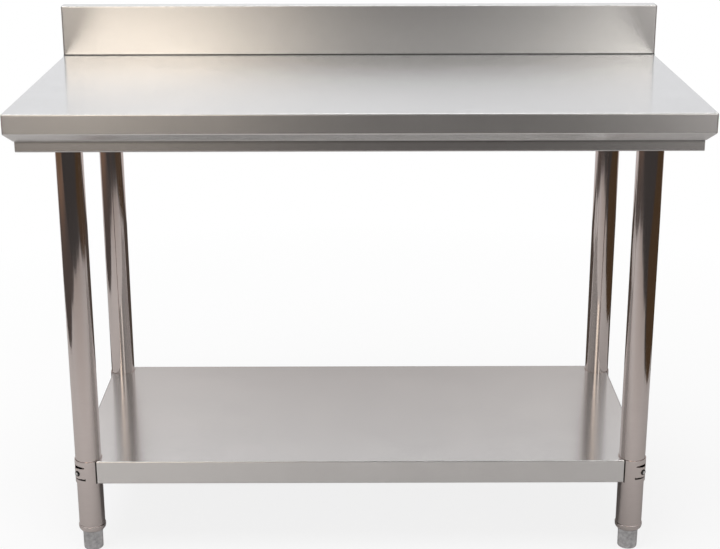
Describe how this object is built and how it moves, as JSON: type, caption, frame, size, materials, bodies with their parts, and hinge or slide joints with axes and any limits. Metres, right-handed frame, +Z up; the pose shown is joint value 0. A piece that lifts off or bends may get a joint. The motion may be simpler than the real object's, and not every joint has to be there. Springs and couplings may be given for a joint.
{
  "type": "work table",
  "caption": "Free-standing stainless kitchen work table with a splashback, round tube legs on levelling feet and a height-adjustable undershelf.",
  "frame": {"origin": "on the floor, under the middle of the table", "axes": "+X to the right along the table's length, +Y towards the splashback, +Z up"},
  "size_m": [1.2, 0.6, 0.95],
  "materials": {
    "stainless_satin": "satin sheet with a fine grain",
    "stainless_polished": "polished tube",
    "galvanised_steel": "galvanised",
    "zinc_fasteners": "bright zinc plate",
    "core_board": "grey melamine face",
    "grey_nylon": "moulded, matte"
  },
  "bodies": {
    "table": {"worktop": "stainless_satin", "splash_cap_left": "stainless_satin", "splash_cap_right": "stainless_satin", "apron_front": "stainless_satin", "apron_back": "stainless_satin", "apron_left": "stainless_satin", "apron_right": "stainless_satin", "core_board": "core_board", "top_stiffener_left": "galvanised_steel", "top_stiffener_middle": "galvanised_steel", "top_stiffener_right": "galvanised_steel", "leg_socket_front_left": "galvanised_steel", "leg_socket_front_right": "galvanised_steel", "leg_socket_back_left": "galvanised_steel", "leg_socket_back_right": "galvanised_steel", "socket_set_screws": "zinc_fasteners", "frame_screws": "zinc_fasteners", "leg_front_left": "stainless_polished", "leg_front_right": "stainless_polished", "leg_back_left": "stainless_polished", "leg_back_right": "stainless_polished", "foot_insert_front_left": "stainless_polished", "foot_insert_front_right": "stainless_polished", "foot_insert_back_left": "stainless_polished", "foot_insert_back_right": "stainless_polished"},
    "shelf": {"undershelf": "stainless_satin", "shelf_stiffener": "galvanised_steel", "collar_front_left": "stainless_polished", "collar_front_right": "stainless_polished", "collar_back_left": "stainless_polished", "collar_back_right": "stainless_polished", "clamp_nuts": "zinc_fasteners", "clamp_screws": "zinc_fasteners"},
    "levelling_foot_front_left": {"foot_front_left": "grey_nylon", "foot_stud_front_left": "zinc_fasteners"},
    "levelling_foot_front_right": {"foot_front_right": "grey_nylon", "foot_stud_front_right": "zinc_fasteners"},
    "levelling_foot_back_left": {"foot_back_left": "grey_nylon", "foot_stud_back_left": "zinc_fasteners"},
    "levelling_foot_back_right": {"foot_back_right": "grey_nylon", "foot_stud_back_right": "zinc_fasteners"}
  },
  "joints": [
    {"name": "shelf_height", "type": "slide", "parent": "table", "child": "shelf", "axis": [0, 0, 1], "range_m": [-0.06, 0.4]},
    {"name": "foot_front_left_screw", "type": "slide", "parent": "table", "child": "levelling_foot_front_left", "axis": [0, 0, -1], "range_m": [0, 0.025]},
    {"name": "foot_front_right_screw", "type": "slide", "parent": "table", "child": "levelling_foot_front_right", "axis": [0, 0, -1], "range_m": [0, 0.025]},
    {"name": "foot_back_left_screw", "type": "slide", "parent": "table", "child": "levelling_foot_back_left", "axis": [0, 0, -1], "range_m": [0, 0.025]},
    {"name": "foot_back_right_screw", "type": "slide", "parent": "table", "child": "levelling_foot_back_right", "axis": [0, 0, -1], "range_m": [0, 0.025]}
  ]
}
